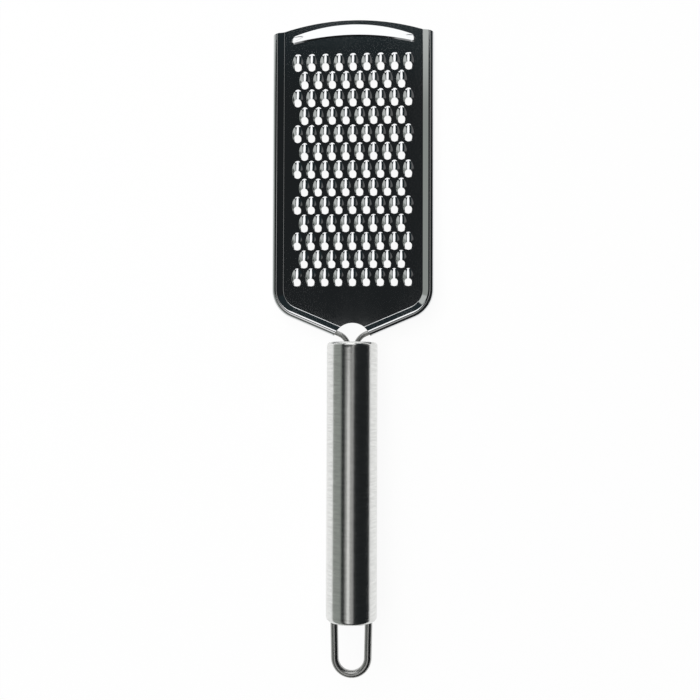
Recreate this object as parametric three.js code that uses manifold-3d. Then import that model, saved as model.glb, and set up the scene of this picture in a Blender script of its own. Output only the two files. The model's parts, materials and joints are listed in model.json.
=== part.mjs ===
// Hand grater: a stamped steel plate hemmed round two bent wires that run into a hollow tube handle,
// with a wire hanging loop in the far end of the handle.
// Millimetres, +Z up. The grater lies on its back on a table: teeth up, plate towards +Y, loop towards -Y.
// The pieces are drawn in the tool's own frame: the handle axis and both wires lie in the plane z = 0,
// and y = 0 is the middle row of teeth. A turned group then lays the tool down on the table.
import * as THREE from "three";
import { mergeVertices } from "three/addons/utils/BufferGeometryUtils.js";
import Module from "manifold-3d";

const wasm = await Module();
wasm.setup();

// Sheet of the plate
const SHEET = 0.5;
const PLATE_WIDTH = 64; // over both hems
const PLATE_LEVEL = 0.2; // top face of the sheet above the plane of the wires
const HEM_WIDTH = 4.4; // from the outer edge to the crease
const HEM_WRAP = 330; // degrees round the wire at which the sheet's edge stops
const TOP_CREST = 61.6; // y of the crown of the top edge
const TOP_ARC_RADIUS = 93;
const SHOULDER_TURN = 67; // degrees from the side down to the sloping shoulder
const SHOULDER_START = -45.7; // y where the side starts to bend
const CORNER_RADIUS = 12; // outside of the hem
const NOTCH_RADIUS = 7.6; // round cut-out at the neck

// Frame wires
const WIRE_DIAMETER = 2;
const WIRE_CLEARANCE = 0.1; // between wire and hem, and between wire and neck slot
const WIRE_SPACING = 3; // between the two wires inside the handle
const WIRE_INSET = 1.5; // how far a wire's free end stops short of the top edge
const NECK_BEND_RADIUS = 8;
const NECK_DEPTH = 3.64; // how far inside the handle the wires end their last bend
const WIRE_IN_HANDLE = 30;

// Teeth
const FIRST_ROW_DEPTH = 18.7; // from the crown of the top edge down to the first row of holes
const LAST_ROW_MARGIN = 2; // least height of the last row above the start of the shoulders
const SIDE_MARGIN = 2.2; // least flat between a crease and the nearest tooth
const TOOTH_PITCH = 5.5;
const ROW_PITCH = 7.15;
const HOLE_DIAMETER = 3;
const TOOTH_WIDTH = 4.3;
const TOOTH_LENGTH = 8.1;
const TOOTH_HEIGHT = 1.6; // above the sheet
const TOOTH_SETBACK = 2.15; // from the hole's centre up to the middle of the bump
const EDGE_OVERHANG = 10; // degrees by which the cutting edge runs past half of the hole

// Pressed rib below the top edge
const RIB_SIDE_MARGIN = 3; // from the crease to the tip
const RIB_EDGE_MARGIN = 1.7; // from the crown of the top edge down to the rib
const RIB_WIDTH = 5.2; // in the middle
const RIB_UPPER_RADIUS = 66;
const RIB_LOWER_RADIUS = 112;
const RIB_TIP_RADIUS = 1.4;
const RIB_HEIGHT = 1.1;
const RIB_RIDGE = 0.86; // share of the width over which the rib climbs

// Handle
const HANDLE_DIAMETER = 20;
const HANDLE_WALL = 0.5;
const HANDLE_LENGTH = 108.7;
const HANDLE_SHOULDER = 1.5; // rounding at both ends
const CAP_SHEET = 0.8;
const CAP_SKIRT = 6;
const CAP_CLEARANCE = 0.12;

// Hanging loop
const LOOP_WIRE = 3;
const LOOP_WIDTH = 12.9; // between the wire's centres at the bend
const LOOP_SPLAY = 0.3; // how much wider each leg stands at the cap
const LOOP_REACH = 22.5; // below the end of the handle
const LOOP_IN_HANDLE = 7;
const LOOP_CLEARANCE = 0.2;

// Facets
const WIRE_SIDES = 10;
const HANDLE_SIDES = 32;
const ARC_STEP = 12; // degrees

const rad = THREE.MathUtils.degToRad;

// What follows from the sizes above
const wireRadius = WIRE_DIAMETER / 2;
const rollInside = wireRadius + WIRE_CLEARANCE;
const rollOutside = rollInside + SHEET;
const wireX = PLATE_WIDTH / 2 - rollOutside;
const creaseX = PLATE_WIDTH / 2 - HEM_WIDTH;
const plateBack = PLATE_LEVEL - SHEET;
const handleRadius = HANDLE_DIAMETER / 2;
const arch = (crest, radius, x) => crest - radius + Math.sqrt(radius ** 2 - x ** 2);
const topEdge = (x) => arch(TOP_CREST, TOP_ARC_RADIUS, x);

// A closed solid of three.js geometry, for cutting and joining
function solid(geometry) {
  const bare = geometry.clone();
  for (const name of ["normal", "uv"]) bare.deleteAttribute(name);
  const merged = mergeVertices(bare, 1e-4);
  const mesh = new wasm.Mesh({
    numProp: 3,
    vertProperties: new Float32Array(merged.attributes.position.array),
    triVerts: new Uint32Array(merged.index.array),
  });
  return new wasm.Manifold(mesh);
}

function geometryOf(manifold) {
  const mesh = manifold.getMesh();
  const geometry = new THREE.BufferGeometry();
  geometry.setAttribute("position", new THREE.BufferAttribute(mesh.vertProperties, 3));
  geometry.setIndex(new THREE.BufferAttribute(mesh.triVerts, 1));
  return geometry;
}

const joined = (geometries) => wasm.Manifold.union(geometries.map(solid));

// A closed skin over rings of points. Every ring has the same number of points and turns the same way.
function loft(rings) {
  const count = rings[0].length;
  const points = rings.flat();
  const index = [];
  for (let ring = 0; ring + 1 < rings.length; ring++) {
    for (let i = 0; i < count; i++) {
      const a = ring * count + i;
      const b = ring * count + ((i + 1) % count);
      index.push(a, b, b + count, a, b + count, a + count);
    }
  }
  const geometry = new THREE.BufferGeometry().setFromPoints(points);
  geometry.setIndex(index.concat(endFaces(rings)));
  return geometry;
}

// Both ends of a loft, cut into triangles in the plane that the end ring spans
function endFaces(rings) {
  const count = rings[0].length;
  const faces = [];
  for (const [ring, first] of [[0, true], [rings.length - 1, false]]) {
    const points = rings[ring];
    const across = points[Math.floor(count / 2)].clone().sub(points[0]).normalize();
    const normal = new THREE.Vector3();
    points.forEach((p, i) => normal.add(p.clone().cross(points[(i + 1) % count])));
    const up = normal.normalize().clone().cross(across);
    const flat = points.map((p) => new THREE.Vector2(p.dot(across), p.dot(up)));
    for (const [a, b, c] of THREE.ShapeUtils.triangulateShape(flat, [])) {
      const face = first ? [a, c, b] : [a, b, c];
      faces.push(...face.map((i) => i + ring * count));
    }
  }
  return faces;
}

// Stations along a flat bent route: straight runs and round bends, each { point, left } in the XY plane.
// A bend's angle is in degrees, positive to the left.
function route(start, heading, moves) {
  const at = start.clone();
  let angle = heading;
  const stations = [];
  const mark = () =>
    stations.push({ point: at.clone(), left: new THREE.Vector2(-Math.sin(angle), Math.cos(angle)) });
  mark();
  for (const move of moves) {
    if (move.run !== undefined) {
      at.add(new THREE.Vector2(Math.cos(angle), Math.sin(angle)).multiplyScalar(move.run));
      mark();
      continue;
    }
    const steps = Math.ceil(Math.abs(move.bend) / ARC_STEP);
    const side = Math.sign(move.bend) * move.radius;
    for (let i = 0; i < steps; i++) {
      const before = new THREE.Vector2(-Math.sin(angle), Math.cos(angle)).multiplyScalar(side);
      angle += rad(move.bend) / steps;
      const after = new THREE.Vector2(-Math.sin(angle), Math.cos(angle)).multiplyScalar(side);
      at.add(before).sub(after);
      mark();
    }
  }
  return stations;
}

// A profile of (offset to the left, height) points carried along a route
function sweep(profile, stations) {
  const rings = stations.map(({ point, left }) =>
    profile.map((p) => new THREE.Vector3(point.x + left.x * p.x, point.y + left.y * p.x, p.y)),
  );
  return loft(rings);
}

function roundProfile(radius, sides) {
  const corner = (i) => rad((360 * (i + 0.5)) / sides);
  const points = Array.from({ length: sides }, (_, i) => corner(i));
  return points.map((a) => new THREE.Vector2(radius * Math.cos(a), radius * Math.sin(a)));
}

// The same shape on the other side of the tool
function mirrored(geometry) {
  const copy = geometry.clone().scale(-1, 1, 1);
  const index = copy.index.array;
  for (let i = 0; i < index.length; i += 3) [index[i + 1], index[i + 2]] = [index[i + 2], index[i + 1]];
  return copy;
}

// The left wire's route: down the side, round the corner, along the shoulder, into the handle.
const cornerBend = CORNER_RADIUS - rollOutside;
const shoulderHeading = rad(SHOULDER_TURN - 90);
const neckX = -WIRE_SPACING / 2;
const shoulderRun = (() => {
  const cornerEndX = -wireX + cornerBend * (1 - Math.cos(rad(SHOULDER_TURN)));
  const bendStartX = neckX - NECK_BEND_RADIUS * (1 - Math.cos(rad(SHOULDER_TURN)));
  return (bendStartX - cornerEndX) / Math.cos(shoulderHeading);
})();
const wireTop = topEdge(wireX) - WIRE_INSET;
const neckBendEnd =
  SHOULDER_START -
  (cornerBend + NECK_BEND_RADIUS) * Math.sin(rad(SHOULDER_TURN)) +
  shoulderRun * Math.sin(shoulderHeading);
const handleTop = neckBendEnd + NECK_DEPTH;
const handleEnd = handleTop - HANDLE_LENGTH;

function leftRoute(top, { toHandle }) {
  const moves = [
    { run: top - SHOULDER_START },
    { bend: SHOULDER_TURN, radius: cornerBend },
    { run: shoulderRun },
  ];
  if (toHandle) {
    moves.push({ bend: -SHOULDER_TURN, radius: NECK_BEND_RADIUS });
    moves.push({ run: WIRE_IN_HANDLE - NECK_DEPTH });
  }
  return route(new THREE.Vector2(-wireX, top), rad(-90), moves);
}

function frameWire() {
  return sweep(roundProfile(wireRadius, WIRE_SIDES), leftRoute(wireTop, { toHandle: true }));
}

// Section of the hem: the sheet climbs from the crease, goes over the wire and tucks in below it.
// Offsets are measured inwards from the wire's centre.
const crease = new THREE.Vector2(wireX - creaseX, PLATE_LEVEL);
const flankSlope =
  Math.asin(rollOutside / crease.length()) + Math.atan2(-PLATE_LEVEL, wireX - creaseX);

function hemProfile() {
  const onRoll = (radius) => {
    const steps = 12;
    const from = Math.PI / 2 - flankSlope;
    const turn = (rad(HEM_WRAP) - from) / steps;
    const angles = Array.from({ length: steps + 1 }, (_, i) => from + i * turn);
    return angles.map((a) => new THREE.Vector2(radius * Math.cos(a), radius * Math.sin(a)));
  };
  const tongue = crease.x + SHEET;
  const creaseBelow = new THREE.Vector2(crease.x - SHEET * Math.tan(flankSlope / 2), plateBack);
  return [
    new THREE.Vector2(tongue, PLATE_LEVEL),
    crease,
    ...onRoll(rollOutside),
    ...onRoll(rollInside).reverse(),
    creaseBelow,
    new THREE.Vector2(tongue, plateBack),
  ];
}

// The left hem, with its top end cut along the plate's top edge
function hem() {
  const profile = hemProfile();
  const rings = leftRoute(topEdge(wireX), { toHandle: false }).map(({ point, left }) =>
    profile.map((p) => new THREE.Vector3(point.x + left.x * p.x, point.y + left.y * p.x, p.y)),
  );
  for (const p of rings[0]) p.y = topEdge(p.x);
  return loft(rings);
}

// Triangles collected one by one
function shell() {
  const corners = [];
  const face = (...points) => {
    const [a, b, c] = points;
    if (a.distanceTo(b) && b.distanceTo(c) && c.distanceTo(a)) corners.push(a, b, c);
  };
  const strip = (first, second) => {
    for (let i = 0; i + 1 < first.length; i++) {
      face(first[i], first[i + 1], second[i + 1]);
      face(first[i], second[i + 1], second[i]);
    }
  };
  return { face, strip, geometry: () => new THREE.BufferGeometry().setFromPoints(corners) };
}

// Centres of the holes. Long and short rows by turns fill the field from below the rib to the shoulders.
const firstRow = TOP_CREST - FIRST_ROW_DEPTH;
const rowRoom = firstRow - SHOULDER_START - LAST_ROW_MARGIN;
const toothRoom = 2 * (creaseX - SIDE_MARGIN) - TOOTH_WIDTH;
const rows = Math.floor(rowRoom / ROW_PITCH) + 1;
const longRow = Math.floor(toothRoom / TOOTH_PITCH) + 1;
const toothPlaces = [];
for (let row = 0; row < rows; row++) {
  const teeth = longRow - (row % 2);
  const y = firstRow - ROW_PITCH * row;
  for (let i = 0; i < teeth; i++) toothPlaces.push([TOOTH_PITCH * (i - (teeth - 1) / 2), y]);
}

// One tooth round the centre of its hole. The sheet climbs from the outline of the bump to the hole's upper
// rim, which is the cutting edge, and most steeply at first. The lower rim stays in the flat of the sheet.
function toothLines() {
  const radius = HOLE_DIAMETER / 2;
  const steps = 6;
  const swell = { share: 0.4, climb: 0.65 };
  const edgeStart = rad(-EDGE_OVERHANG);
  const edgeTurn = Math.PI - 2 * edgeStart;
  const bumpStart = Math.asin((radius * Math.sin(edgeStart) - TOOTH_SETBACK) / (TOOTH_LENGTH / 2));
  const bumpTurn = Math.PI - 2 * bumpStart;
  const rim = [];
  const outline = [];
  const middle = [];
  for (let i = 0; i <= steps; i++) {
    const a = edgeStart + (edgeTurn * i) / steps;
    const b = bumpStart + (bumpTurn * i) / steps;
    const atEnd = i % steps === 0;
    const rise = (Math.sin(a) - Math.sin(edgeStart)) / (1 - Math.sin(edgeStart));
    const edge = new THREE.Vector3(radius * Math.cos(a), radius * Math.sin(a), TOOTH_HEIGHT * rise);
    if (atEnd) edge.z = 0;
    const foot = new THREE.Vector3((TOOTH_WIDTH / 2) * Math.cos(b), TOOTH_SETBACK, 0);
    foot.y += (TOOTH_LENGTH / 2) * Math.sin(b);
    if (atEnd) foot.copy(edge);
    rim.push(edge);
    outline.push(foot);
    middle.push(foot.clone().lerp(edge, swell.share).setZ(swell.climb * edge.z));
  }
  const lower = Array.from({ length: 5 }, (_, i) => {
    const a = edgeStart + edgeTurn + ((2 * Math.PI - edgeTurn) * i) / 4;
    return new THREE.Vector3(radius * Math.cos(a), radius * Math.sin(a), 0);
  });
  lower[0].copy(rim[steps]);
  lower[4].copy(rim[0]);
  return { rim, outline, middle, lower };
}

// The crescent rib between two arcs, as lines from tip to tip. It climbs towards the handle and drops there.
function ribLines() {
  const steps = 18;
  const half = creaseX - RIB_SIDE_MARGIN;
  const crest = TOP_CREST - RIB_EDGE_MARGIN;
  const climb = (across) => Math.min(across / RIB_RIDGE, (1 - across) / (1 - RIB_RIDGE));
  const shares = [0, RIB_RIDGE / 3, (2 * RIB_RIDGE) / 3, RIB_RIDGE, 1];
  return shares.map((across) =>
    Array.from({ length: steps + 1 }, (_, i) => {
      const x = half * Math.cos((Math.PI * i) / steps);
      const fromTip = Math.min(1, (half - Math.abs(x)) / RIB_TIP_RADIUS);
      const fullness = Math.sqrt(fromTip * (2 - fromTip));
      const upper = arch(crest, RIB_UPPER_RADIUS, x);
      const lower = arch(crest - RIB_WIDTH, RIB_LOWER_RADIUS, x);
      const y = (upper + lower) / 2 + fullness * (upper - lower) * (0.5 - across);
      return new THREE.Vector3(x, y, RIB_HEIGHT * fullness * Math.sin((climb(across) * Math.PI) / 2));
    }),
  );
}

// Outline of the flat field between the creases
function fieldContour() {
  const leftSide = leftRoute(topEdge(creaseX), { toHandle: false }).map(({ point, left }) =>
    point.clone().addScaledVector(left, crease.x),
  );
  const rightSide = leftSide.map((p) => new THREE.Vector2(-p.x, p.y)).reverse();
  const steps = 16;
  const crown = Array.from({ length: steps - 1 }, (_, i) => creaseX * (1 - (2 * (i + 1)) / steps));
  return [...leftSide, ...rightSide, ...crown.map((x) => new THREE.Vector2(x, topEdge(x)))];
}

// The field of sheet, with every tooth and the rib raised out of it
function field() {
  const { face, strip, geometry } = shell();
  const top = (p) => new THREE.Vector3(p.x, p.y, PLATE_LEVEL + (p.z ?? 0));
  const below = (p) => top(p).setZ(plateBack + (p.z ?? 0));
  const raise = (lines) => {
    for (let i = 0; i + 1 < lines.length; i++) {
      strip(lines[i].map(top), lines[i + 1].map(top));
      strip(lines[i + 1].map(below), lines[i].map(below));
    }
  };

  const openings = [];
  const { rim, outline, middle, lower } = toothLines();
  for (const [x, y] of toothPlaces) {
    const place = (line) => line.map((p) => p.clone().add(new THREE.Vector3(x, y, 0)));
    raise([outline, middle, rim].map(place));
    for (const edge of [rim, lower].map(place)) strip(edge.map(top), edge.map(below));
    openings.push(place([...outline, ...lower.slice(1, -1)]));
  }
  const wave = ribLines();
  raise(wave);
  openings.push([...wave[0], ...wave[wave.length - 1].slice(1, -1).reverse()]);

  const contour = fieldContour();
  const around = [...contour, contour[0]];
  strip(around.map(below), around.map(top));
  const flat = [contour, ...openings].flat();
  const holes = openings.map((line) => line.map((p) => new THREE.Vector2(p.x, p.y)));
  for (const corners of THREE.ShapeUtils.triangulateShape(contour, holes)) {
    const [a, b, c] = corners.map((i) => flat[i]);
    const turn = (b.x - a.x) * (c.y - a.y) - (b.y - a.y) * (c.x - a.x);
    const [p, q] = turn > 0 ? [b, c] : [c, b];
    face(top(a), top(p), top(q));
    face(below(a), below(q), below(p));
  }
  return geometry();
}

function gratingPlate() {
  const tall = 4 * rollOutside;
  const notch = new THREE.CylinderGeometry(NOTCH_RADIUS, NOTCH_RADIUS, tall, 40).rotateX(Math.PI / 2);
  const blank = joined([field(), hem(), mirrored(hem())]);
  return geometryOf(blank.subtract(solid(notch.translate(0, handleTop, 0))));
}

// Quarter round from the side of the handle to its end, as (radius, y) points
function shoulderArc(radius, end, outwards) {
  const centre = new THREE.Vector2(handleRadius - HANDLE_SHOULDER, end - outwards * HANDLE_SHOULDER);
  const steps = 4;
  return Array.from({ length: steps + 1 }, (_, i) => {
    const a = (Math.PI / 2) * (i / steps);
    return new THREE.Vector2(centre.x + radius * Math.cos(a), centre.y + outwards * radius * Math.sin(a));
  });
}

// A thin tube whose ends turn in
function handleTube() {
  const outer = HANDLE_SHOULDER;
  const inner = HANDLE_SHOULDER - HANDLE_WALL;
  const skin = [...shoulderArc(outer, handleEnd, -1).reverse(), ...shoulderArc(outer, handleTop, 1)];
  const lining = [...shoulderArc(inner, handleTop, 1).reverse(), ...shoulderArc(inner, handleEnd, -1)];
  return new THREE.LatheGeometry([...skin, ...lining, skin[0].clone()], HANDLE_SIDES);
}

// A drawn cup that seats inside the turned-in end of the tube
function cap(end, outwards) {
  const fit = HANDLE_SHOULDER - HANDLE_WALL - CAP_CLEARANCE;
  const corner = shoulderArc(fit, end, outwards);
  const face = corner[corner.length - 1].y;
  const skirtRadius = corner[0].x;
  const skirtEnd = face - outwards * CAP_SKIRT;
  const inside = skirtRadius - CAP_SHEET;
  const profile = [
    new THREE.Vector2(0, face),
    ...corner.reverse(),
    new THREE.Vector2(skirtRadius, skirtEnd),
    new THREE.Vector2(inside, skirtEnd),
    new THREE.Vector2(inside, face - outwards * CAP_SHEET),
    new THREE.Vector2(0, face - outwards * CAP_SHEET),
  ];
  return new THREE.LatheGeometry(outwards > 0 ? profile.reverse() : profile, HANDLE_SIDES);
}

// An oblong for both wires, wide enough for their slant at the neck
function neckCap() {
  const half = wireRadius + WIRE_CLEARANCE;
  const slant = Math.asin(NECK_DEPTH / NECK_BEND_RADIUS);
  const reach = NECK_BEND_RADIUS * (1 - Math.cos(slant)) - neckX + wireRadius;
  const slot = new THREE.Shape();
  slot.absarc(reach - half / 2, 0, half, -Math.PI / 2, Math.PI / 2);
  slot.absarc(half / 2 - reach, 0, half, Math.PI / 2, (3 * Math.PI) / 2);
  const depth = 2 * CAP_SKIRT;
  const cutter = new THREE.ExtrudeGeometry(slot, { depth, bevelEnabled: false, curveSegments: 8 });
  cutter.rotateX(Math.PI / 2).translate(0, handleTop + CAP_SKIRT, 0);
  return geometryOf(solid(cap(handleTop, 1)).subtract(solid(cutter)));
}

const legX = LOOP_WIDTH / 2 + LOOP_SPLAY;

function endCap() {
  const radius = LOOP_WIRE / 2 + LOOP_CLEARANCE;
  const hole = new THREE.CylinderGeometry(radius, radius, 2 * CAP_SKIRT, 12);
  const holes = joined([-legX, legX].map((x) => hole.clone().translate(x, handleEnd, 0)));
  return geometryOf(solid(cap(handleEnd, -1)).subtract(holes));
}

// A U of wire whose legs stand a little wider at the cap than at the bend
function hangLoop() {
  const radius = LOOP_WIDTH / 2;
  const bendY = handleEnd - LOOP_REACH + LOOP_WIRE / 2 + radius;
  const leg = Math.hypot(handleEnd - bendY, LOOP_SPLAY);
  const lean = THREE.MathUtils.radToDeg(Math.atan2(LOOP_SPLAY, handleEnd - bendY));
  const leanIn = { bend: lean, radius };
  const stations = route(new THREE.Vector2(-legX, handleEnd + LOOP_IN_HANDLE), rad(-90), [
    { run: LOOP_IN_HANDLE },
    leanIn,
    { run: leg },
    { bend: 180 - 2 * lean, radius },
    { run: leg },
    leanIn,
    { run: LOOP_IN_HANDLE },
  ]);
  return sweep(roundProfile(LOOP_WIRE / 2, WIRE_SIDES), stations);
}

// Looks of the bare metal
const steel = (color, roughness) => new THREE.MeshStandardMaterial({ color, roughness, metalness: 1 });
const polished = () => steel(0xc6c9cb, 0.1);
const ground = () => steel(0xb9bbb8, 0.2);
const drawn = () => steel(0xb4b7b8, 0.22);

const pieces = [
  ["grating_plate", gratingPlate(), polished()],
  ["frame_wire_left", frameWire(), drawn()],
  ["frame_wire_right", mirrored(frameWire()), drawn()],
  ["handle_tube", handleTube(), ground()],
  ["neck_cap", neckCap(), ground()],
  ["end_cap", endCap(), ground()],
  ["hang_loop", hangLoop(), drawn()],
];

const tool = new THREE.Group();
for (const [name, geometry, material] of pieces) {
  const mesh = new THREE.Mesh(geometry, material);
  mesh.name = name;
  tool.add(mesh);
}

// Laid on a table the tool rests on the two top ends of the hems and on the neck end of the handle.
const shoulderDrop = handleRadius - HANDLE_SHOULDER;
const restBase = topEdge(wireX) - handleTop + HANDLE_SHOULDER;
const restSpan = Math.hypot(restBase, shoulderDrop - rollOutside);
const restTilt =
  Math.asin(HANDLE_SHOULDER / restSpan) + Math.atan2(shoulderDrop - rollOutside, restBase);
tool.rotation.x = -restTilt;

const grater = new THREE.Group();
grater.add(tool);
const box = new THREE.Box3().setFromObject(grater, true);
const centre = box.getCenter(new THREE.Vector3());
tool.position.set(-centre.x, -centre.y, -box.min.z);

export default grater;
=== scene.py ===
"""The looks of a steel hand grater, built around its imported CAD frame.

Shapes are drawn in millimetres in the tool's own frame, as in the CAD: the handle axis and both frame wires lie
in the plane z = 0, y = 0 is the middle row of teeth, and +z is the toothed side. Each finished piece is then laid
down on the table with the frame.
"""

import json
import math

import bmesh
import bpy
from mathutils import Matrix, Vector


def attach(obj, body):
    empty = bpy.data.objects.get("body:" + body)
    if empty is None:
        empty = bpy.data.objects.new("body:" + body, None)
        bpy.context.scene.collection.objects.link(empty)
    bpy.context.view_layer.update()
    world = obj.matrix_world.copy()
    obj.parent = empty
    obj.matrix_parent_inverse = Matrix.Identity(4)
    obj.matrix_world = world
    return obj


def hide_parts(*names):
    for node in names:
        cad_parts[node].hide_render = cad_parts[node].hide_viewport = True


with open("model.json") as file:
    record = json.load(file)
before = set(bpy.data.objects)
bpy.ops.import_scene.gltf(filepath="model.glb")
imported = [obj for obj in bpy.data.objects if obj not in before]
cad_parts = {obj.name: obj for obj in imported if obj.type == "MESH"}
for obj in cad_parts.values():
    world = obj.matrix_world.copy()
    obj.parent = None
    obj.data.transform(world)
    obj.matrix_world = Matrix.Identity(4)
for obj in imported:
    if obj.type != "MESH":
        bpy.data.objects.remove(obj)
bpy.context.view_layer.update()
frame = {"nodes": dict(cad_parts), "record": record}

MM = 0.001
UP = Vector((0, 0, 1))

# Sheet of the plate
SHEET = 0.5
PLATE_WIDTH = 64
PLATE_LEVEL = 0.2
PLATE_MOUNT_Y = -51
HEM_WIDTH = 4.4
HEM_WRAP = math.radians(330)
CREASE_BEND = 0.6
TOP_CREST = 61.6
TOP_ARC_RADIUS = 93
SHOULDER_TURN = math.radians(67)
SHOULDER_START = -45.7
CORNER_RADIUS = 12
NOTCH_RADIUS = 7.6

# Frame wires
WIRE_RADIUS = 1
WIRE_CLEARANCE = 0.1
WIRE_SPACING = 2.6
WIRE_INSET = 1.5
NECK_BEND_RADIUS = 6.5
WIRE_IN_HANDLE = 30

# Teeth: a ridge that starts steeply at its far end, climbs on evenly to the hole and fades out beside it
TOOTH_ROWS = 13
TEETH_IN_LONG_ROW = 9
TOOTH_PITCH = 5.5
ROW_PITCH = 7.15
HOLE_RADIUS = 1.5
TOOTH_HALF_WIDTH = 2.15
TOOTH_HALF_LENGTH = 3.75
TOOTH_SETBACK = 1.85
TOOTH_HEIGHT = 1.1
TOOTH_EVEN_CLIMB = 0.6
TOOTH_START_POWER = 5
TOOTH_CREST_POWER = 2.2
TOOTH_FOOT_POWER = 1.3
TOOTH_FADE_Y = -1.4
TOOTH_FADE_LENGTH = 2.6

# Pressed rib, with its bend, ridge and drop as shares of the way from its upper edge to its lower one
RIB_HALF_SPAN = 24.6
RIB_UPPER_CREST = 59.9
RIB_UPPER_RADIUS = 66
RIB_LOWER_CREST = 54.7
RIB_LOWER_RADIUS = 112
RIB_HEIGHT = 1.1
RIB_BEND = 0.04
RIB_RIDGE = 0.86
RIB_DROP_END = 0.925
RIB_SOFTNESS = 0.3
RIB_TIP = 1.4
RIB_TIP_RISE = 0.45
RIB_TIP_BLUNTNESS = 0.01

# Handle
HANDLE_RADIUS = 10
HANDLE_WALL = 0.5
HANDLE_LENGTH = 108.7
HANDLE_TOP = -66.506
HANDLE_SHOULDER = 1.5
HANDLE_END_BAND = 1

# Hanging loop
LOOP_WIRE_RADIUS = 1.5
LOOP_HALF_WIDTH = 6.45
LOOP_SPLAY = 0.3
LOOP_REACH = 22.5
LOOP_IN_HANDLE = 7

# Fineness of the meshes
WIRE_SIDES = 28
BEND_STEP = math.radians(5)
CREASE_STEPS = 4
ROLL_STEPS = 30
BORDER_STEPS = 48
TOOTH_SIDES = 28
TOOTH_RINGS = (0.04, 0.1, 0.2, 0.32, 0.46, 0.62, 0.8, 1)
RIB_STEPS = (56, 14)
TUBE_SIDES = 112
TUBE_SHOULDER_STEPS = 8
MERGE_DISTANCE = 1e-4
CRISP_ANGLE = math.radians(32)
FLAT_NORMAL = 0.99999
LEAST = 1e-9

# What follows from the sizes above
ROLL_RADIUS = WIRE_RADIUS + WIRE_CLEARANCE + SHEET
WIRE_X = PLATE_WIDTH / 2 - ROLL_RADIUS
CREASE = Vector((HEM_WIDTH - ROLL_RADIUS, PLATE_LEVEL))
FLANK_SLOPE = math.asin(ROLL_RADIUS / CREASE.length) - math.atan2(CREASE.y, CREASE.x)
HANDLE_END = HANDLE_TOP - HANDLE_LENGTH
PLATE_BACK = PLATE_LEVEL - SHEET
TOOTH_FAR_END = TOOTH_SETBACK + TOOTH_HALF_LENGTH

# Steel
SHEET_COLOR = (0.76, 0.77, 0.78, 1)
TUBE_DARK = (0.69, 0.695, 0.68, 1)
TUBE_LIGHT = (0.79, 0.795, 0.78)
WIRE_COLOR = (0.44, 0.44, 0.43, 1)
GRIND_DEPTH = 0.00002

# White table and the softbox over it, in metres
TABLE_HALF_SIDE = 6
TABLE_COLOR = (0.9, 0.9, 0.9, 1)
TABLE_GLOW = 0.92
SOFTBOX_WAY = (-0.25, 0.2, 1.0)
SOFTBOX_DISTANCE = 1.2
SOFTBOX_SIDE = 1.2
SOFTBOX_RADIANCE = 3.2

# Room that the steel mirrors, told apart by directions in the tool's frame: x to the right, y beyond the plate and
# z overhead. Three numbers are a span's low end, high end and blur, and two are where something starts and is full.
# ACROSS is a span of x / z.
HORIZON = (0, 0.01)
ROOM_COLOR = (0.015, 0.017, 0.018, 1)
FAR_ROOM_COLOR = (0.018, 0.026, 0.029)
FAR_ROOM_Y = (0.29, 0.38)
WALL_COLOR = (0.30, 0.32, 0.30)
WALL_SLOPE = math.tan(math.radians(44.5))
WALL_EDGE = (0, 0.03)
WALL_END = (0, 0.05)
LIT_WALL_COLOR = (0.54, 0.56, 0.54)
LIT_WALL_Y = (0.28, 0.36)
RIGHT_WALL_COLOR = (0.13, 0.13, 0.13)
RIGHT_WALL_SLOPE = 1.6
RIGHT_WALL_EDGE = (0, 0.1)
RIGHT_WALL_Y = (0.2, 0.3)
WINDOW_COLOR = (1.3, 1.3, 1.3)
WINDOW_ACROSS = (-0.6, 0.33, 0.03)
WINDOW_Y_BY_Z = (0.43, 3.0, 0.02)
SILL_Y = (0.1, 0.2)
SILL_X_BY_Y = (-0.75, 0.5, 0.1)
SILL_Z_BY_Y = (0, 0.45, 0.03)
LAMP_COLOR = (0.36, 0.36, 0.355)
LAMP_ACROSS = (-0.5, 0.185, 0.03)
LAMP_Y = (-0.75, 0.042, 0.006)
LAMP_CORE_COLOR = (0.95, 0.95, 0.94)
LAMP_CORE_ACROSS = (-0.28, -0.13, 0.05)
SLIT_COLOR = (0.45, 0.45, 0.44)
SLIT_ACROSS = (0.06, 0.22, 0.03)
SLIT_Y = (0.05, 0.36, 0.02)
WHITE = (1, 1, 1)

# Camera, placed and aimed in the tool's frame
CAMERA_LENS = 46.29
CAMERA_SENSOR = 36
CAMERA_PLACE = (24.5, -78.7, 353.9)
CAMERA_AIM = (-0.87, -69.6, 0.2)
CAMERA_ROLL = math.radians(0.19)
CAMERA_NEAR = 0.01
CAMERA_FAR = 20


def laid_down():
    """From millimetres in the tool's frame to the row frame. The mount on the plate's back gives the tilt."""
    mount = next(m for m in frame["record"]["mounts"] if m["name"] == "plate_back")
    toothed = -Vector(mount["axis"])
    across = Vector((1, 0, 0))
    along = toothed.cross(across)
    turn = Matrix((across, along, toothed)).transposed()
    mount_in_tool = Vector((0, PLATE_MOUNT_Y, PLATE_BACK)) * MM
    shift = Vector(mount["pos_m"]) - turn @ mount_in_tool
    return Matrix.Translation(shift) @ turn.to_4x4() @ Matrix.Scale(MM, 4)


TO_ROW = laid_down()
TILT = TO_ROW.to_euler().x


# Drawing with bmesh


def once(items):
    """Each item once, in the order it came, so that every run makes the same mesh."""
    return list(dict.fromkeys(items))


def verts_of(geom):
    return [g for g in geom if isinstance(g, bmesh.types.BMVert)]


def edges_of(geom):
    return [g for g in geom if isinstance(g, bmesh.types.BMEdge)]


def row_of(edges):
    return once(v for e in edges for v in e.verts)


def edges_at(verts):
    return once(e for v in verts for e in v.link_edges)


def eased(x):
    x = min(1, max(0, x))
    return x * x * (3 - 2 * x)


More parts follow.
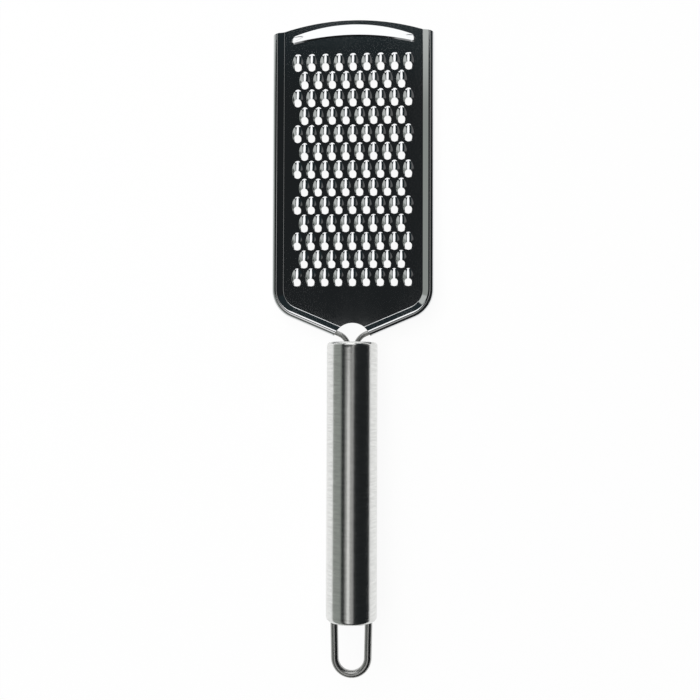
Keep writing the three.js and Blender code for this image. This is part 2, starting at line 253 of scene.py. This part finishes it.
def arc_points(centre, radius, start, end, steps):
    angles = [start + (end - start) * i / steps for i in range(steps + 1)]
    return [centre + radius * Vector((math.cos(a), math.sin(a))) for a in angles]


def chain(bm, points, closed=False):
    """A line of edges through the points."""
    verts = [bm.verts.new(p) for p in points]
    pairs = list(zip(verts, verts[1:]))
    if closed:
        pairs.append((verts[-1], verts[0]))
    return [bm.edges.new(pair) for pair in pairs]


def drawn_on(bm, edges):
    """One more row of the skin, on top of the last. Returns its edges."""
    made = bmesh.ops.extrude_edge_only(bm, edges=edges)["geom"]
    fresh = set(verts_of(made))
    return [e for e in edges_of(made) if all(v in fresh for v in e.verts)]


def follow(bm, edges, at, heading, moves):
    """Draws a line of edges along straight runs and round bends in the plane of the wires."""
    for kind, amount, radius in moves:
        ahead = Vector((math.cos(heading), math.sin(heading), 0))
        if kind == "run":
            edges = drawn_on(bm, edges)
            bmesh.ops.translate(bm, verts=row_of(edges), vec=ahead * amount)
            at = at + ahead * amount
            continue
        left = UP.cross(ahead)
        centre = at + left * math.copysign(radius, amount)
        spun = bmesh.ops.spin(
            bm,
            geom=edges + row_of(edges),
            cent=centre,
            axis=UP,
            angle=amount,
            steps=max(2, round(abs(amount) / BEND_STEP)),
            use_duplicate=False,
        )
        edges = edges_of(spun["geom_last"])
        at = centre + Matrix.Rotation(amount, 3, "Z") @ (at - centre)
        heading += amount
    return edges


def closed_up(bm):
    """Joins the seams of a spun shape and turns its faces outwards."""
    bmesh.ops.remove_doubles(bm, verts=bm.verts, dist=MERGE_DISTANCE)
    bmesh.ops.recalc_face_normals(bm, faces=bm.faces)


def shaded(bm):
    """Smooth faces, with crisp edges where the metal turns sharply and round what is flat."""
    bm.normal_update()
    flat = {face: abs(face.normal.z) > FLAT_NORMAL for face in bm.faces}
    for face in bm.faces:
        face.smooth = True
    for edge in bm.edges:
        sides = {flat[face] for face in edge.link_faces}
        edge.smooth = edge.is_manifold and len(sides) == 1 and edge.calc_face_angle(0) < CRISP_ANGLE


def finished(bm, name, node, material):
    """The shape as an object of the row frame that stands for a CAD node."""
    shaded(bm)
    bmesh.ops.transform(bm, matrix=TO_ROW, verts=bm.verts)
    mesh = bpy.data.meshes.new(name)
    bm.to_mesh(mesh)
    bm.free()
    mesh.materials.append(material)
    piece = bpy.data.objects.new(name, mesh)
    bpy.context.scene.collection.objects.link(piece)
    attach(piece, "root")
    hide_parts(node)


# Wires. The left frame wire's route also guides its hem


def top_edge(x):
    """Height of the plate's arched top edge."""
    return TOP_CREST - TOP_ARC_RADIUS + math.sqrt(TOP_ARC_RADIUS**2 - x**2)


def shoulder_run():
    """Length of the straight between the shoulder's corner and the neck's bend."""
    bent = 1 - math.cos(SHOULDER_TURN)
    corner_end = -WIRE_X + (CORNER_RADIUS - ROLL_RADIUS) * bent
    neck_start = -WIRE_SPACING / 2 - NECK_BEND_RADIUS * bent
    return (neck_start - corner_end) / math.sin(SHOULDER_TURN)


def hem_moves(top):
    """Down the long edge, round the corner and along the shoulder."""
    return [
        ("run", top - SHOULDER_START, 0),
        ("bend", SHOULDER_TURN, CORNER_RADIUS - ROLL_RADIUS),
        ("run", shoulder_run(), 0),
    ]


def wire_moves(top):
    """The hem's route, and on round the neck into the handle."""
    bends = CORNER_RADIUS - ROLL_RADIUS + NECK_BEND_RADIUS
    neck_end = SHOULDER_START - bends * math.sin(SHOULDER_TURN) - shoulder_run() * math.cos(SHOULDER_TURN)
    return hem_moves(top) + [
        ("bend", -SHOULDER_TURN, NECK_BEND_RADIUS),
        ("run", neck_end - HANDLE_TOP + WIRE_IN_HANDLE, 0),
    ]


def round_section(bm, at, radius):
    """A wire's round section across the -y direction."""
    ring = bmesh.ops.create_circle(bm, segments=WIRE_SIDES, radius=radius)["verts"]
    bmesh.ops.rotate(bm, verts=ring, cent=(0, 0, 0), matrix=Matrix.Rotation(math.pi / 2, 3, "X"))
    bmesh.ops.translate(bm, verts=ring, vec=at)
    return edges_at(ring)


def wire_along(at, radius, moves):
    bm = bmesh.new()
    start = round_section(bm, at, radius)
    end = follow(bm, start, at, -math.pi / 2, moves)
    bmesh.ops.edgeloop_fill(bm, edges=start)
    bmesh.ops.edgeloop_fill(bm, edges=end)
    closed_up(bm)
    return bm


def frame_wire(side):
    top = top_edge(WIRE_X) - WIRE_INSET
    bm = wire_along(Vector((-WIRE_X, top, 0)), WIRE_RADIUS, wire_moves(top))
    if side == "right":
        bmesh.ops.scale(bm, vec=(-1, 1, 1), verts=bm.verts)
        bmesh.ops.recalc_face_normals(bm, faces=bm.faces)
    return bm


def hang_loop():
    """A U of wire whose legs spread a little towards the handle and run straight inside it."""
    bend_y = HANDLE_END - LOOP_REACH + LOOP_WIRE_RADIUS + LOOP_HALF_WIDTH
    leg = math.hypot(HANDLE_END - bend_y, LOOP_SPLAY)
    lean = math.atan2(LOOP_SPLAY, HANDLE_END - bend_y)
    start = Vector((-LOOP_HALF_WIDTH - LOOP_SPLAY, HANDLE_END + LOOP_IN_HANDLE, 0))
    half = [("run", LOOP_IN_HANDLE, 0), ("bend", lean, LOOP_HALF_WIDTH), ("run", leg, 0)]
    crown = ("bend", math.pi - 2 * lean, LOOP_HALF_WIDTH)
    return wire_along(start, LOOP_WIRE_RADIUS, half + [crown] + half[::-1])


# The plate: one skin that carries the field, the teeth, the rib and both hems


def hem_section():
    """Outside of the hem as (offset inwards from the wire, height): flat, crease, flank, roll round the wire."""
    reach = CREASE_BEND * math.tan(FLANK_SLOPE / 2)
    bend_centre = Vector((CREASE.x + reach, CREASE.y + CREASE_BEND))
    down = -math.pi / 2
    crease = arc_points(bend_centre, CREASE_BEND, down, down - FLANK_SLOPE, CREASE_STEPS)
    roll = arc_points(Vector((0, 0)), ROLL_RADIUS, math.pi / 2 - FLANK_SLOPE, HEM_WRAP, ROLL_STEPS)
    return [Vector((CREASE.x + 2 * reach, PLATE_LEVEL))] + crease + roll


def trim_to_notch(verts):
    """Slides the last row along the shoulder until it lies on the round notch."""
    along = Vector((math.sin(SHOULDER_TURN), -math.cos(SHOULDER_TURN)))
    centre = Vector((0, HANDLE_TOP))
    for v in verts:
        off = v.co.xy - centre
        back = off.dot(along)
        slide = -back - math.sqrt(max(0, back**2 - off.length_squared + NOTCH_RADIUS**2))
        v.co.xy += along * slide


def hem(bm):
    """The left hem. Its flat inner border, where the field joins on, is marked."""
    section = hem_section()
    top = top_edge(WIRE_X)
    first = chain(bm, [(-WIRE_X + p.x, top, p.y) for p in section])
    inner = max(row_of(first), key=lambda v: v.co.x)
    inner[bm.verts.layers.int["field_border"]] = 1
    last = follow(bm, first, Vector((-WIRE_X, top, 0)), -math.pi / 2, hem_moves(top))
    for v in row_of(first):
        v.co.y = top_edge(v.co.x)
    trim_to_notch(row_of(last))


def mirror_left(bm):
    """Adds the right hem as the left one's mirror image."""
    copy = bmesh.ops.duplicate(bm, geom=bm.verts[:] + bm.edges[:] + bm.faces[:])["geom"]
    bmesh.ops.scale(bm, vec=(-1, 1, 1), verts=verts_of(copy))
    bmesh.ops.reverse_faces(bm, faces=[g for g in copy if isinstance(g, bmesh.types.BMFace)])


def tooth_lift(x, y):
    """Height of a tooth above the field: a ridge that climbs towards the hole and falls off beside it."""
    share = min(1, (TOOTH_FAR_END - y) / (TOOTH_FAR_END - HOLE_RADIUS))
    steep_start = 1 - (1 - share) ** TOOTH_START_POWER
    climb = TOOTH_EVEN_CLIMB * share + (1 - TOOTH_EVEN_CLIMB) * steep_start
    beside = eased((y - TOOTH_FADE_Y) / TOOTH_FADE_LENGTH)
    end_share = (y - TOOTH_SETBACK) / TOOTH_HALF_LENGTH
    half_width = TOOTH_HALF_WIDTH * math.sqrt(max(LEAST, 1 - end_share**2))
    off_crest = min(1, abs(x) / half_width)
    return TOOTH_HEIGHT * climb * beside * (1 - off_crest**TOOTH_CREST_POWER) ** TOOTH_FOOT_POWER


def tooth_point(angle, share):
    """A point of a tooth's skin, from the foot of the bump (share 0) to the rim of the hole (share 1)."""
    across, along = math.cos(angle), math.sin(angle)
    rim = Vector((HOLE_RADIUS * across, HOLE_RADIUS * along, PLATE_LEVEL))
    foot = Vector((TOOTH_HALF_WIDTH * across, TOOTH_SETBACK + TOOTH_HALF_LENGTH * along, PLATE_LEVEL))
    place = foot.lerp(rim, share)
    return place + UP * tooth_lift(place.x, place.y)


def tooth(bm):
    """One tooth round the middle hole. Returns all of it, the edges of its flat border and the hole's rim."""
    ring = bmesh.ops.create_circle(bm, segments=TOOTH_SIDES, radius=1)["verts"]
    border = edges_at(ring)
    geom = ring + border
    angles = {v: math.atan2(v.co.y, v.co.x) for v in ring}
    edges = border
    for v, angle in angles.items():
        v.co = tooth_point(angle, 0)
        v.co.z = PLATE_LEVEL
    for share in TOOTH_RINGS:
        made = bmesh.ops.extrude_edge_only(bm, edges=edges)["geom"]
        fresh = verts_of(made)
        below = {v: next(e.other_vert(v) for e in v.link_edges if e.other_vert(v) not in fresh) for v in fresh}
        angles.update({v: angles[low] for v, low in below.items()})
        for v in fresh:
            v.co = tooth_point(angles[v], share)
        edges = [e for e in edges_of(made) if all(v in below for v in e.verts)]
        geom += made
    return geom, border, row_of(edges)


def tooth_places():
    """The middle of each hole, row by row from the top."""
    for row in range(TOOTH_ROWS):
        teeth_in_row = TEETH_IN_LONG_ROW - row % 2
        for i in range(teeth_in_row):
            yield TOOTH_PITCH * (i - (teeth_in_row - 1) / 2), ROW_PITCH * ((TOOTH_ROWS - 1) / 2 - row)


def teeth(bm):
    """Every tooth. Returns the edges of their flat borders. The rims of the holes are marked."""
    geom, border, rim = tooth(bm)
    marked = bm.verts.layers.int["hole_rim"]
    borders = []
    for number, (x, y) in enumerate(tooth_places(), 1):
        for v in rim:
            v[marked] = number
        copy = bmesh.ops.duplicate(bm, geom=geom)
        bmesh.ops.translate(bm, verts=verts_of(copy["geom"]), vec=(x, y, 0))
        borders += [copy["edge_map"][e] for e in border]
    bmesh.ops.delete(bm, geom=verts_of(geom), context="VERTS")
    return borders


def thin_rims(bm):
    """Draws the back of each lifted rim out to the hole, as the punch does."""
    marked = bm.verts.layers.int["hole_rim"]
    places = [Vector(place) for place in tooth_places()]
    for v in bm.verts:
        if v[marked]:
            middle = places[v[marked] - 1]
            v.co.xy = middle + (v.co.xy - middle).normalized() * HOLE_RADIUS


def rib(bm):
    """The crescent below the top edge, which climbs towards the handle and drops there. Returns its border."""
    across_steps, along_steps = RIB_STEPS
    grid = bmesh.ops.create_grid(bm, x_segments=across_steps, y_segments=along_steps, size=1)["verts"]
    for v in grid:
        x = RIB_HALF_SPAN * math.sin(v.co.x * math.pi / 2)
        into_tip = max(0, abs(x) - RIB_HALF_SPAN + RIB_TIP) / RIB_TIP
        tip = math.sqrt(max(RIB_TIP_BLUNTNESS, 1 - into_tip**2))
        upper = RIB_UPPER_CREST - RIB_UPPER_RADIUS + math.sqrt(RIB_UPPER_RADIUS**2 - x**2)
        lower = RIB_LOWER_CREST - RIB_LOWER_RADIUS + math.sqrt(RIB_LOWER_RADIUS**2 - x**2)
        down = (1 - v.co.y) / 2
        middle, half = (upper + lower) / 2, (upper - lower) / 2 * tip
        straight = min(1, max(0, down - RIB_BEND) / (RIB_RIDGE - RIB_BEND))
        climb = RIB_SOFTNESS * eased(down / RIB_RIDGE) + (1 - RIB_SOFTNESS) * straight
        drop = 1 - eased((down - RIB_RIDGE) / (RIB_DROP_END - RIB_RIDGE))
        ends = eased((RIB_HALF_SPAN - abs(x)) / (RIB_TIP_RISE * RIB_TIP))
        v.co = (x, middle + half * (1 - 2 * down), PLATE_LEVEL + RIB_HEIGHT * climb * drop * ends)
    return [e for e in edges_at(grid) if e.is_boundary]


def joined_by_arc(bm, first, last, points):
    """Edges from one corner of the field to another through the points between them."""
    verts = [first] + [bm.verts.new(p) for p in points] + [last]
    return [bm.edges.new(pair) for pair in zip(verts, verts[1:])]


def field_border(bm):
    """The edges round the field: both hems, the arched top edge and the round notch."""
    marked = bm.verts.layers.int["field_border"]
    border = [e for e in bm.edges if all(v[marked] for v in e.verts)]
    corners = sorted(row_of(border), key=lambda v: v.co.y)
    low_left, low_right = sorted(corners[:2], key=lambda v: v.co.x)
    top_left, top_right = sorted(corners[-2:], key=lambda v: v.co.x)
    shares = [i / BORDER_STEPS for i in range(1, BORDER_STEPS)]
    across = [top_left.co.x + (top_right.co.x - top_left.co.x) * share for share in shares]
    crown = [(x, top_edge(x), PLATE_LEVEL) for x in across]
    from_neck = low_left.co.xy - Vector((0, HANDLE_TOP))
    start = math.atan2(from_neck.y, from_neck.x)
    angles = [start + (math.pi - 2 * start) * share for share in shares]
    notch = [(NOTCH_RADIUS * math.cos(a), HANDLE_TOP + NOTCH_RADIUS * math.sin(a), PLATE_LEVEL) for a in angles]
    border += joined_by_arc(bm, top_left, top_right, crown)
    border += joined_by_arc(bm, low_left, low_right, notch)
    return border


def grating_plate():
    bm = bmesh.new()
    bm.verts.layers.int.new("field_border")
    bm.verts.layers.int.new("hole_rim")
    hem(bm)
    mirror_left(bm)
    border = field_border(bm) + teeth(bm) + rib(bm)
    field = bmesh.ops.triangle_fill(bm, use_beauty=True, use_dissolve=False, edges=border, normal=UP)["geom"]
    bmesh.ops.recalc_face_normals(bm, faces=bm.faces)
    flat = next(g for g in field if isinstance(g, bmesh.types.BMFace))
    if flat.normal.z < 0:
        bmesh.ops.reverse_faces(bm, faces=bm.faces)
    bmesh.ops.solidify(bm, geom=bm.faces[:], thickness=SHEET)
    thin_rims(bm)
    return bm


# The handle


def handle_tube():
    """A thin tube with turned-in ends, spun round its axis. A short band at each end keeps the wall straight."""
    bm = bmesh.new()
    turn_in = HANDLE_RADIUS - HANDLE_SHOULDER
    quarter = math.pi / 2

    def side(radius):
        upper = Vector((turn_in, HANDLE_TOP - HANDLE_SHOULDER))
        lower = Vector((turn_in, HANDLE_END + HANDLE_SHOULDER))
        straight = [lower + Vector((radius, HANDLE_END_BAND)), upper + Vector((radius, -HANDLE_END_BAND))]
        lower_turn = arc_points(lower, radius, -quarter, 0, TUBE_SHOULDER_STEPS)
        upper_turn = arc_points(upper, radius, 0, quarter, TUBE_SHOULDER_STEPS)
        return lower_turn + straight + upper_turn

    profile = side(HANDLE_SHOULDER) + side(HANDLE_SHOULDER - HANDLE_WALL)[::-1]
    edges = chain(bm, [(p.x, p.y, 0) for p in profile], closed=True)
    bmesh.ops.spin(
        bm,
        geom=edges + row_of(edges),
        cent=(0, 0, 0),
        axis=(0, 1, 0),
        angle=2 * math.pi,
        steps=TUBE_SIDES,
        use_merge=True,
        use_duplicate=False,
    )
    closed_up(bm)
    return bm


# Finishes


class Value:
    """A socket that takes part in arithmetic. Each operation adds a Math node."""

    def __init__(self, finish, socket):
        self.finish = finish
        self.socket = socket

    def math(self, operation, *operands):
        sockets = dict(enumerate(operands))
        return self.finish.node("ShaderNodeMath", {"operation": operation}, sockets)

    def __add__(self, other):
        return self.math("ADD", self, other)

    def __radd__(self, other):
        return self.math("ADD", other, self)

    def __sub__(self, other):
        return self.math("SUBTRACT", self, other)

    def __rsub__(self, other):
        return self.math("SUBTRACT", other, self)

    def __mul__(self, other):
        return self.math("MULTIPLY", self, other)

    def __rmul__(self, other):
        return self.math("MULTIPLY", other, self)

    def __truediv__(self, other):
        return self.math("DIVIDE", self, other)

    def ramp(self, low, high):
        """0 below low, 1 above high, eased between."""
        settings = {"interpolation_type": "SMOOTHSTEP"}
        return self.finish.node("ShaderNodeMapRange", settings, {"Value": self, "From Min": low, "From Max": high})

    def within(self, low, high, blur):
        """1 between low and high, 0 outside, eased over the blur."""
        return self.ramp(low - blur, low) * self.ramp(high + blur, high)


class Finish:
    """The nodes of one material, or of the world."""

    def __init__(self, owner):
        owner.use_nodes = True
        self.tree = owner.node_tree
        self.tree.nodes.clear()

    def node(self, kind, settings=None, sockets=None, output=0):
        made = self.tree.nodes.new(kind)
        for name, setting in (settings or {}).items():
            setattr(made, name, setting)
        for name, value in (sockets or {}).items():
            if isinstance(value, Value):
                self.tree.links.new(value.socket, made.inputs[name])
            else:
                made.inputs[name].default_value = value
        return Value(self, made.outputs[output]) if made.outputs else made

    def turned_to_tool(self, coordinates):
        """One kind of texture coordinates, turned along the tool."""
        place = self.node("ShaderNodeTexCoord", output=coordinates)
        return self.node("ShaderNodeMapping", {}, {"Vector": place, "Rotation": (-TILT, 0, 0)})

    def noise_along_tool(self, scale, detail):
        """Noise on the piece, with so many waves to the metre across, along and through the tool."""
        turned = self.turned_to_tool("Object")
        waves = self.node("ShaderNodeVectorMath", {"operation": "MULTIPLY"}, {0: turned, 1: scale})
        return self.node("ShaderNodeTexNoise", {}, {"Vector": waves, "Scale": 1.0, "Detail": detail})

    def mixed(self, share, under, over):
        return self.node("ShaderNodeMixRGB", {}, {"Fac": share, "Color1": under, "Color2": (*over, 1)})

    def metal(self, color, roughness, normal=None):
        sockets = {"Base Color": color, "Metallic": 1.0, "Roughness": roughness}
        if normal:
            sockets["Normal"] = normal
        shader = self.node("ShaderNodeBsdfPrincipled", {}, sockets)
        self.node("ShaderNodeOutputMaterial", {}, {"Surface": shader})


def polished_sheet():
    """Mirror-bright pressed steel with a faint haze."""
    material = bpy.data.materials.new("polished_sheet")
    finish = Finish(material)
    haze = finish.noise_along_tool((90, 30, 90), 3.0)
    finish.metal(SHEET_COLOR, 0.03 + 0.05 * haze)
    return material


def brushed_tube():
    """Finely ground steel tube, whose grinding marks run round it."""
    material = bpy.data.materials.new("brushed_tube")
    finish = Finish(material)
    grain = finish.noise_along_tool((200, 1700, 200), 2.0)
    color = finish.mixed(grain.ramp(0.3, 0.7), TUBE_DARK, TUBE_LIGHT)
    relief = {"Height": grain, "Strength": 1.0, "Distance": GRIND_DEPTH}
    finish.metal(color, 0.16 + 0.08 * grain, finish.node("ShaderNodeBump", {}, relief))
    return material


def drawn_wire():
    """Dull drawn wire with fine lengthwise die lines."""
    material = bpy.data.materials.new("drawn_wire")
    finish = Finish(material)
    grain = finish.noise_along_tool((1500, 120, 1500), 2.0)
    finish.metal(WIRE_COLOR, 0.2 + 0.12 * grain)
    return material


# Studio


def floor():
    """White table. Camera and mirror rays see it white, and a little of it still takes the shadow."""
    bm = bmesh.new()
    bmesh.ops.create_grid(bm, x_segments=1, y_segments=1, size=TABLE_HALF_SIDE)
    mesh = bpy.data.meshes.new("table")
    bm.to_mesh(mesh)
    bm.free()
    table = bpy.data.objects.new("table", mesh)
    bpy.context.scene.collection.objects.link(table)
    material = bpy.data.materials.new("white_table")
    finish = Finish(material)
    lit = finish.node("ShaderNodeBsdfDiffuse", {}, {"Color": TABLE_COLOR})
    glow = finish.node("ShaderNodeEmission", {}, {"Color": (*WHITE, 1), "Strength": 1.0})
    straight = finish.node("ShaderNodeLightPath", output="Is Camera Ray")
    mirrored = finish.node("ShaderNodeLightPath", output="Is Glossy Ray")
    through = finish.node("ShaderNodeLightPath", output="Is Transmission Ray")
    share = (straight + mirrored + through) * TABLE_GLOW
    both = finish.node("ShaderNodeMixShader", {}, {0: share, 1: lit, 2: glow})
    finish.node("ShaderNodeOutputMaterial", {}, {"Surface": both})
    mesh.materials.append(material)


def surroundings():
    """A dim room: a grey wall to the left that is lit at its far end, a darker one to the right, a high window beyond
    the plate with a bright sill below it, a long lamp over the handle with a brighter core, and a slit of light over
    the plate's right side."""
    world = bpy.data.worlds.new("room")
    bpy.context.scene.world = world
    finish = Finish(world)
    way = finish.turned_to_tool("Generated")
    x, y, z = (finish.node("ShaderNodeSeparateXYZ", {}, {"Vector": way}, output=axis) for axis in "XYZ")
    straight = finish.node("ShaderNodeLightPath", output="Is Camera Ray")

    overhead = z.ramp(*HORIZON)
    across = x / z
    wall = (0 - x - z * WALL_SLOPE).ramp(*WALL_EDGE) * (0 - x - y).ramp(*WALL_END)
    right_wall = (x - z * RIGHT_WALL_SLOPE).ramp(*RIGHT_WALL_EDGE) * y.ramp(*RIGHT_WALL_Y) * overhead
    window = across.within(*WINDOW_ACROSS) * (y / z).within(*WINDOW_Y_BY_Z) * overhead
    sill = y.ramp(*SILL_Y) * (x / y).within(*SILL_X_BY_Y) * (z / y).within(*SILL_Z_BY_Y)
    lamp = across.within(*LAMP_ACROSS) * y.within(*LAMP_Y) * overhead
    slit = across.within(*SLIT_ACROSS) * y.within(*SLIT_Y) * overhead
    seen = finish.mixed(y.ramp(*FAR_ROOM_Y), ROOM_COLOR, FAR_ROOM_COLOR)
    for share, color in (
        (right_wall, RIGHT_WALL_COLOR),
        (wall, WALL_COLOR),
        (wall * y.ramp(*LIT_WALL_Y), LIT_WALL_COLOR),
        (sill, WINDOW_COLOR),
        (window, WINDOW_COLOR),
        (slit, SLIT_COLOR),
        (lamp, LAMP_COLOR),
        (lamp * across.within(*LAMP_CORE_ACROSS), LAMP_CORE_COLOR),
        (straight, WHITE),
    ):
        seen = finish.mixed(share, seen, color)
    background = finish.node("ShaderNodeBackground", {}, {"Color": seen, "Strength": 1.0})
    finish.node("ShaderNodeOutputWorld", {}, {"Surface": background})


def softbox():
    """A square lamp over the tool, given by its direction and by how bright its face looks. No metal mirrors it."""
    lamp = bpy.data.lights.new("overhead", "AREA")
    lamp.shape = "RECTANGLE"
    lamp.size = lamp.size_y = SOFTBOX_SIDE
    lamp.energy = SOFTBOX_RADIANCE * math.pi * SOFTBOX_SIDE**2
    holder = bpy.data.objects.new("overhead", lamp)
    bpy.context.scene.collection.objects.link(holder)
    out = Vector(SOFTBOX_WAY).normalized()
    holder.location = out * SOFTBOX_DISTANCE
    holder.rotation_euler = out.to_track_quat("Z", "Y").to_euler()
    holder.visible_glossy = False


def camera():
    """The photograph's view."""
    data = bpy.data.cameras.new("camera")
    data.lens, data.sensor_width = CAMERA_LENS, CAMERA_SENSOR
    data.clip_start, data.clip_end = CAMERA_NEAR, CAMERA_FAR
    holder = bpy.data.objects.new("camera", data)
    bpy.context.scene.collection.objects.link(holder)
    place, aim = TO_ROW @ Vector(CAMERA_PLACE), TO_ROW @ Vector(CAMERA_AIM)
    back = (place - aim).normalized()
    up_in_tool = Vector((-math.sin(CAMERA_ROLL), math.cos(CAMERA_ROLL), 0))
    right = (TO_ROW.to_3x3() @ up_in_tool).cross(back).normalized()
    turn = Matrix((right, back.cross(right), back)).transposed()
    holder.matrix_world = Matrix.Translation(place) @ turn.to_4x4()
    bpy.context.scene.camera = holder


sheet_finish, tube_finish, wire_finish = polished_sheet(), brushed_tube(), drawn_wire()
finished(grating_plate(), "pressed_plate", "grating_plate", sheet_finish)
for side in ("left", "right"):
    finished(frame_wire(side), f"bent_wire_{side}", f"frame_wire_{side}", wire_finish)
finished(handle_tube(), "ground_tube", "handle_tube", tube_finish)
finished(hang_loop(), "wire_loop", "hang_loop", wire_finish)
for name in ("neck_cap", "end_cap"):
    cup = frame["nodes"][name]
    cup.data.materials.clear()
    cup.data.materials.append(tube_finish)

floor()
surroundings()
softbox()
camera()
bpy.context.scene.view_settings.view_transform = "Standard"
